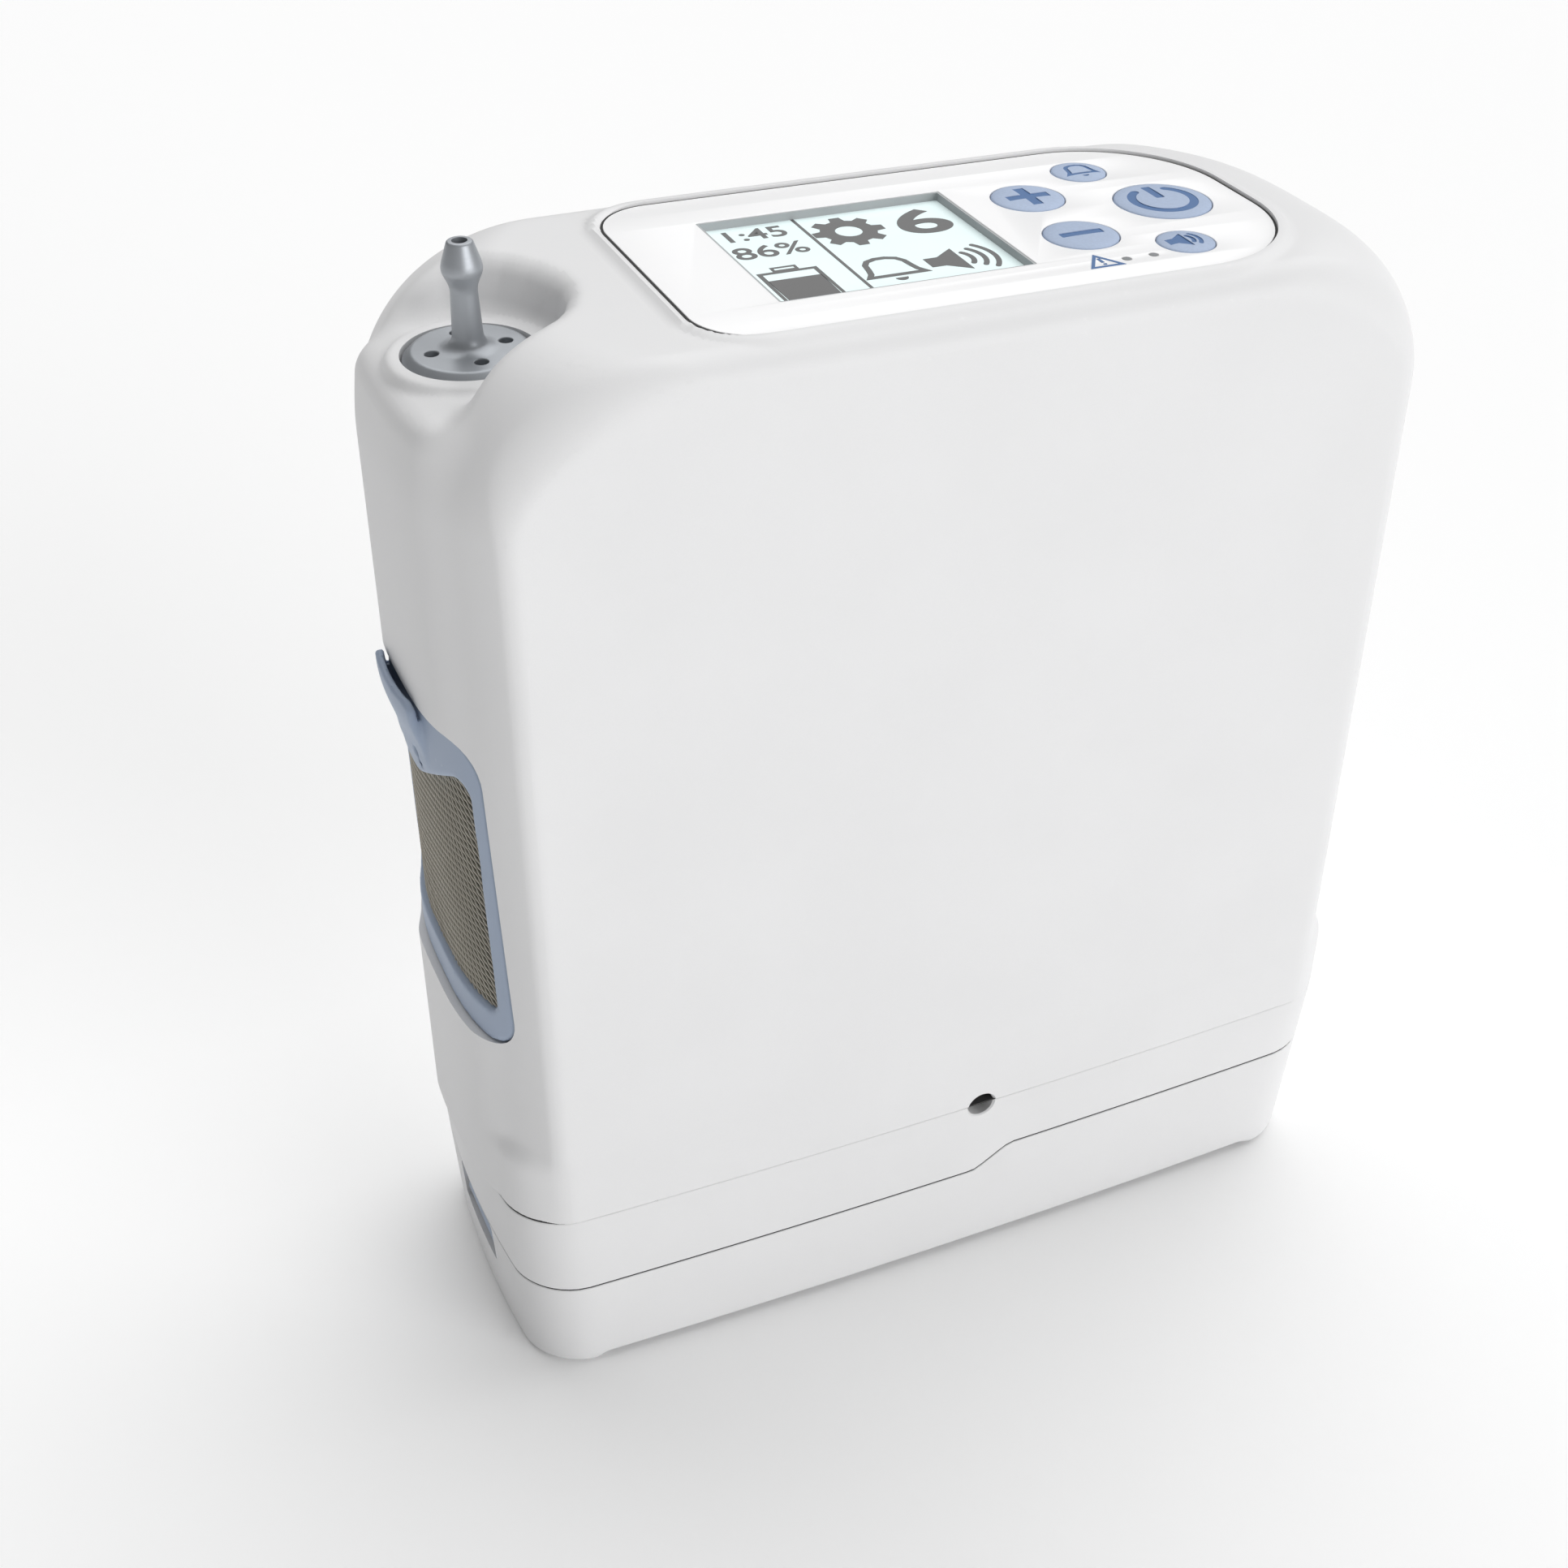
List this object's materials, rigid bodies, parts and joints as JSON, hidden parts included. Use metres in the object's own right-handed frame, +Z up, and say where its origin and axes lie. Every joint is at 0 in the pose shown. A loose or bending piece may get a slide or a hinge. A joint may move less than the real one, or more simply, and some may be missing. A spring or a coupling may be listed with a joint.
{
  "type": "oxygen concentrator",
  "caption": "Portable oxygen concentrator with a slide-off battery, snap-in end filters, a barbed outlet and a button panel with a display.",
  "frame": {"origin": "middle of the footprint, level with the underside of the feet", "axes": "+X along the long side away from the outlet nozzle, -Y out of the large front face with the power inlet, +Z up"},
  "size_m": [0.1892, 0.072, 0.2205],
  "materials": {
    "shell": "satin moulded",
    "panel": "satin",
    "button": "matt",
    "frame_blue": "satin moulded",
    "mesh": "matt",
    "nozzle": "satin",
    "screen": "gloss",
    "black": "satin moulded",
    "rubber": "matt",
    "board": "satin",
    "aluminium": "satin",
    "steel": "satin",
    "cell": "satin",
    "grey_plastic": "matt"
  },
  "bodies": {
    "housing": {"alarm_buzzer": "black", "chassis": "aluminium", "control_panel": "panel", "crankcase": "aluminium", "cylinder_head_left": "aluminium", "cylinder_head_right": "aluminium", "display_board": "board", "display_module": "screen", "fan_frame": "black", "jack_pin": "steel", "keypad": "rubber", "light_guide": "grey_plastic", "lower_housing": "shell", "lower_manifold": "grey_plastic", "main_board": "board", "motor_stator": "steel", "nozzle_seal": "rubber", "outlet_hose": "rubber", "outlet_nozzle": "nozzle", "power_contacts": "steel", "power_jack": "black", "product_tank": "grey_plastic", "sieve_column_1": "aluminium", "sieve_column_2": "aluminium", "solenoid_valve_1": "steel", "solenoid_valve_2": "steel", "upper_housing": "shell", "upper_manifold": "grey_plastic", "valve_block": "aluminium", "vibration_mount_1": "rubber", "vibration_mount_2": "rubber", "vibration_mount_3": "rubber", "vibration_mount_4": "rubber"},
    "battery": {"battery_case": "shell", "battery_lid": "grey_plastic", "battery_board": "board", "battery_socket": "black", "latch_pin": "steel", "latch_spring": "steel", "battery_cell_1": "cell", "battery_cell_2": "cell", "battery_cell_3": "cell", "battery_cell_4": "cell", "battery_cell_5": "cell", "battery_cell_6": "cell"},
    "latch": {"battery_latch": "frame_blue"},
    "filter_left": {"filter_frame_left": "frame_blue", "filter_mesh_left": "mesh"},
    "filter_right": {"filter_frame_right": "frame_blue", "filter_mesh_right": "mesh"},
    "crank": {"crankshaft": "steel", "motor_rotor": "black"},
    "piston_left": {"piston_left": "aluminium"},
    "piston_right": {"piston_right": "aluminium"},
    "fan": {"fan_rotor": "grey_plastic"},
    "button_plus": {"button_plus": "button"},
    "button_minus": {"button_minus": "button"},
    "button_power": {"button_power": "button"},
    "button_alarm": {"button_alarm": "button"},
    "button_sound": {"button_sound": "button"}
  },
  "joints": [
    {"name": "battery_slide", "type": "slide", "parent": "housing", "child": "battery", "axis": [1, 0, 0], "range_m": [0, 0.06]},
    {"name": "latch_press", "type": "hinge", "parent": "battery", "child": "latch", "pos_m": [-0.074, 0, 0.019], "axis": [0, -1, 0], "range_deg": [0, 8], "stiffness_Nm_per_rad": 0.4, "springref_deg": -2.86, "deforming": ["latch_spring"]},
    {"name": "filter_left_pull", "type": "slide", "parent": "housing", "child": "filter_left", "axis": [-1, 0, 0], "range_m": [0, 0.015]},
    {"name": "filter_right_pull", "type": "slide", "parent": "housing", "child": "filter_right", "axis": [1, 0, 0], "range_m": [0, 0.015]},
    {"name": "crank_spin", "type": "hinge", "parent": "housing", "child": "crank", "pos_m": [-0.018, 0, 0.059], "axis": [0, 1, 0], "continuous": true},
    {"name": "piston_left_stroke", "type": "slide", "parent": "housing", "child": "piston_left", "axis": [1, 0, 0], "range_m": [-0.0025, 0.0025]},
    {"name": "piston_right_stroke", "type": "slide", "parent": "housing", "child": "piston_right", "axis": [1, 0, 0], "range_m": [-0.0025, 0.0025]},
    {"name": "fan_spin", "type": "hinge", "parent": "housing", "child": "fan", "pos_m": [-0.073, 0, 0.112], "axis": [1, 0, 0], "continuous": true},
    {"name": "press_plus", "type": "slide", "parent": "housing", "child": "button_plus", "axis": [-0.022, 0, -0.9998], "range_m": [0, 0.0008], "stiffness_N_per_m": 800, "springref_m": -0.0004},
    {"name": "press_minus", "type": "slide", "parent": "housing", "child": "button_minus", "axis": [-0.022, 0, -0.9998], "range_m": [0, 0.0008], "stiffness_N_per_m": 800, "springref_m": -0.0004},
    {"name": "press_power", "type": "slide", "parent": "housing", "child": "button_power", "axis": [-0.022, 0, -0.9998], "range_m": [0, 0.0008], "stiffness_N_per_m": 800, "springref_m": -0.0004},
    {"name": "press_alarm", "type": "slide", "parent": "housing", "child": "button_alarm", "axis": [-0.022, 0, -0.9998], "range_m": [0, 0.0008], "stiffness_N_per_m": 800, "springref_m": -0.0004},
    {"name": "press_sound", "type": "slide", "parent": "housing", "child": "button_sound", "axis": [-0.022, 0, -0.9998], "range_m": [0, 0.0008], "stiffness_N_per_m": 800, "springref_m": -0.0004}
  ]
}
